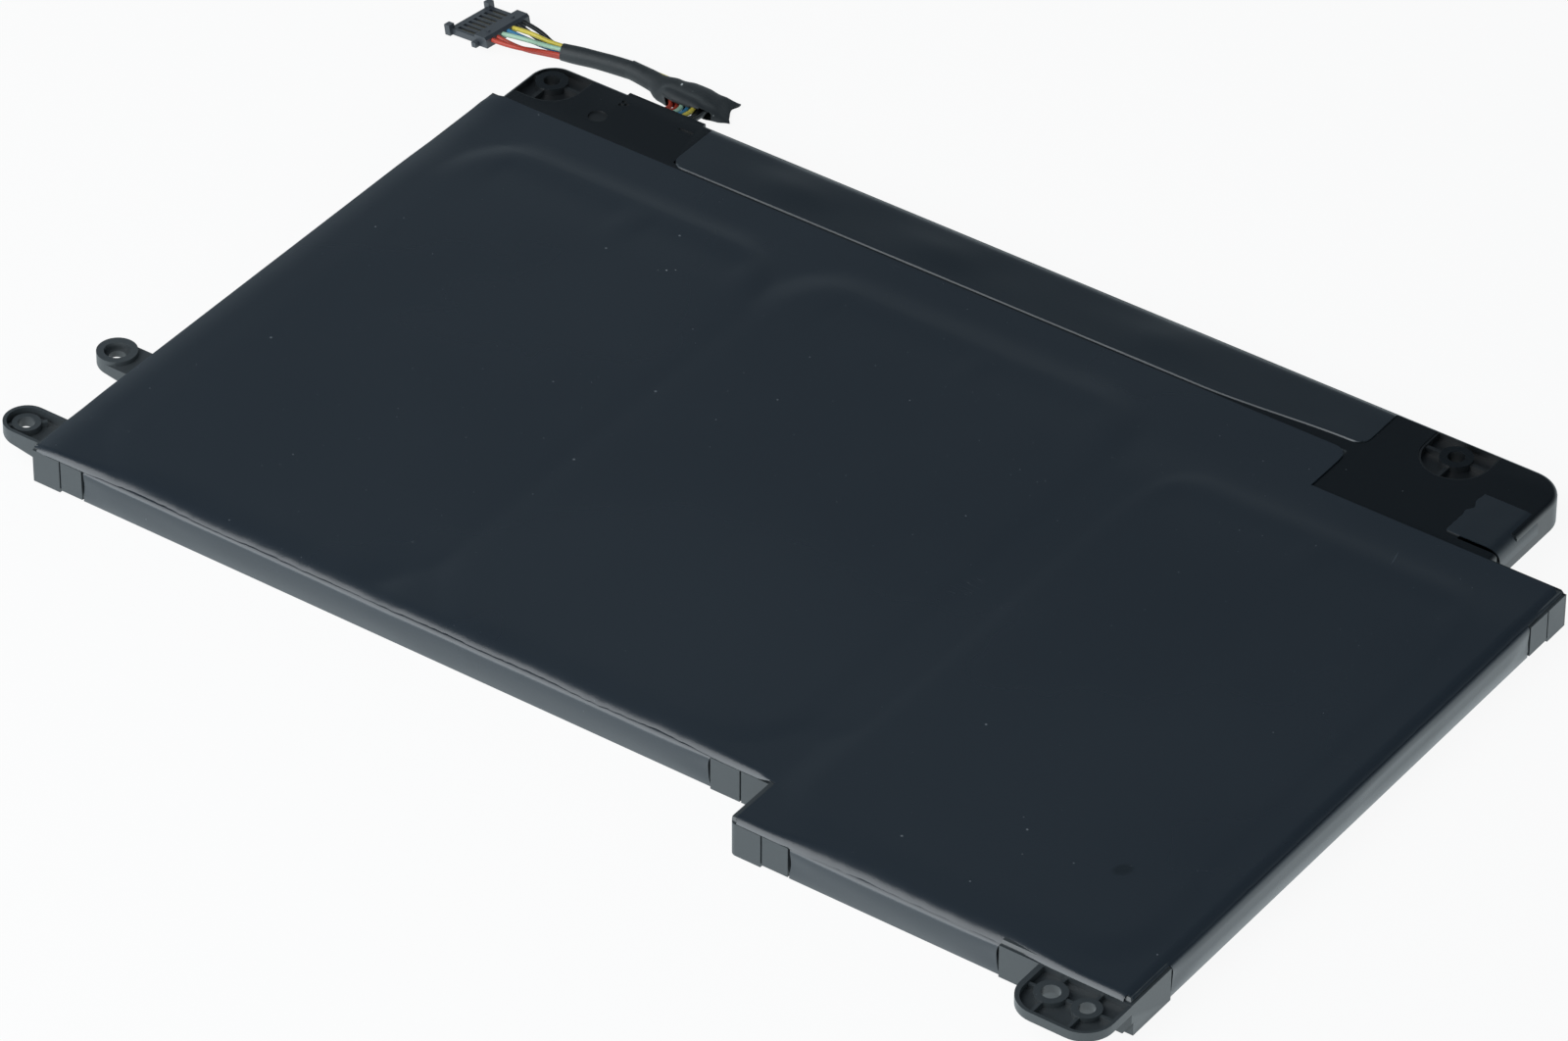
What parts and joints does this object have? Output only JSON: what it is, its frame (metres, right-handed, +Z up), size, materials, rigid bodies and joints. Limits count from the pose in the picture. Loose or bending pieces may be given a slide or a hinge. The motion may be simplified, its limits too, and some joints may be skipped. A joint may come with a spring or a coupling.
{
  "type": "laptop battery pack",
  "caption": "Flat stepped laptop battery pack: film-wrapped pouch cells in a moulded frame with screw tabs, a circuit-board bar and a short multi-wire cable with a plug.",
  "frame": {"origin": "middle of the pack's box, without the cable, at the level of its feet", "axes": "+X along the pack towards the front tab's end, +Y from the front walls to the circuit-board bar, +Z up from the feet to the top film"},
  "size_m": [0.2331, 0.1663, 0.007],
  "materials": {
    "frame_plastic": "black moulded plastic, partly glossy",
    "film": "matt dark slate film",
    "tape": "matt black tape",
    "pouch": "silver pouch foil",
    "tab_metal": "plain metal strip",
    "adhesive": "white double-sided sheet",
    "board": "green solder mask",
    "chip_body": "black moulded chip body",
    "resistor": "dark ceramic",
    "ceramic": "tan ceramic",
    "solder": "bright solder",
    "red_insulation": "red wire insulation",
    "green_insulation": "pale green wire insulation",
    "blue_insulation": "blue wire insulation",
    "yellow_insulation": "yellow wire insulation",
    "black_insulation": "black wire insulation",
    "cloth": "dark cloth tape",
    "plug_plastic": "dark grey plug",
    "contact_metal": "plain contact metal"
  },
  "bodies": {
    "root": {"frame": "frame_plastic", "top_film": "film", "bottom_film": "film", "board_tape": "tape", "end_tape": "tape", "cell_left": "pouch", "cell_middle": "pouch", "cell_right": "pouch", "tabs_left": "tab_metal", "tabs_middle": "tab_metal", "tabs_right": "tab_metal", "adhesive_left": "adhesive", "adhesive_middle": "adhesive", "adhesive_right": "adhesive", "circuit_board": "board", "gauge_chip": "chip_body", "charge_switch": "chip_body", "discharge_switch": "chip_body", "sense_resistor": "resistor", "fuse": "resistor", "thermistor": "resistor", "chip_capacitors": "ceramic", "solder_joints": "solder", "red_wire_1": "red_insulation", "red_wire_2": "red_insulation", "green_wire": "green_insulation", "blue_wire": "blue_insulation", "yellow_wire": "yellow_insulation", "black_wire_1": "black_insulation", "black_wire_2": "black_insulation", "cable_sleeve": "cloth", "cable_wrap": "cloth", "connector_housing": "plug_plastic", "connector_contacts": "contact_metal"}
  },
  "joints": []
}
